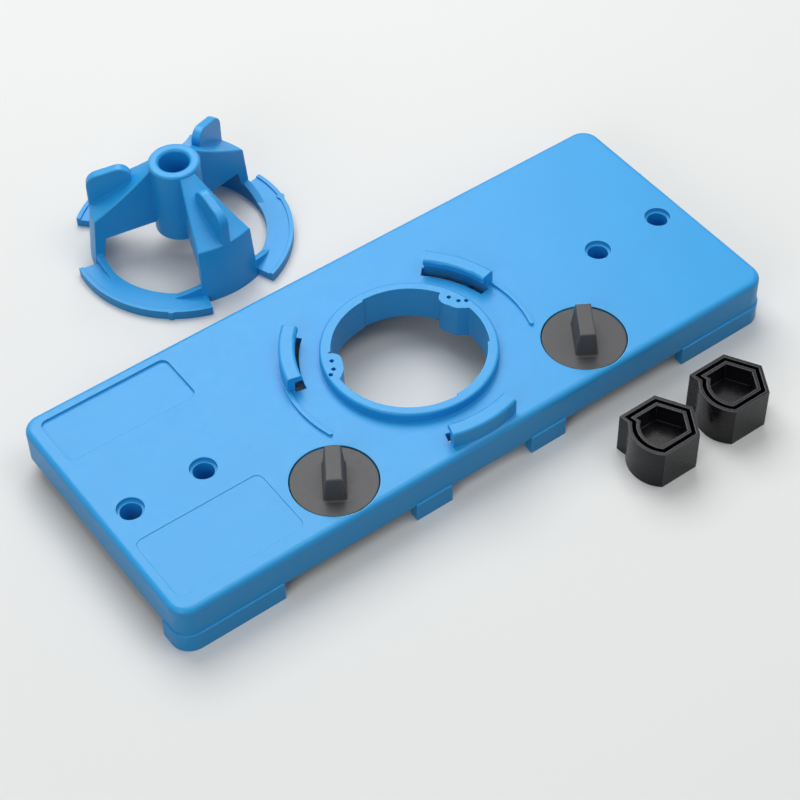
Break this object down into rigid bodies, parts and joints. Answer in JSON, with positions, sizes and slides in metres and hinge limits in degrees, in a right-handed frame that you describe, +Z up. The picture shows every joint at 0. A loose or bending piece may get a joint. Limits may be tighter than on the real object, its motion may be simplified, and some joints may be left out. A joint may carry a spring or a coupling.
{
  "type": "hinge drilling jig",
  "caption": "Moulded base plate with a raised hinge cup collar, turn knobs with stepped cams and a three-legged drill guide, for setting out and boring concealed door hinges.",
  "frame": {"origin": "on the collar's axis, at the level that the base plate's lips stand on", "axes": "+X along the base plate to the right as pictured, +Y towards its back edge, +Z up along the collar's axis"},
  "size_m": [0.223, 0.2161, 0.0357],
  "materials": {
    "blue_plastic": "moulded, soft sheen",
    "grey_plastic": "moulded, fine grain",
    "black_plastic": "moulded, fine grain"
  },
  "bodies": {
    "base": {"base_plate": "blue_plastic", "drill_guide": "blue_plastic", "left_cam": "black_plastic", "right_cam": "black_plastic"},
    "left_knob": {"left_knob": "grey_plastic"},
    "right_knob": {"right_knob": "grey_plastic"}
  },
  "joints": [
    {"name": "left_knob_turn", "type": "hinge", "parent": "base", "child": "left_knob", "pos_m": [-0.0475, -0.02715, 0.015], "axis": [0, 0, 1], "continuous": true},
    {"name": "right_knob_turn", "type": "hinge", "parent": "base", "child": "right_knob", "pos_m": [0.0475, -0.02715, 0.015], "axis": [0, 0, 1], "continuous": true}
  ]
}
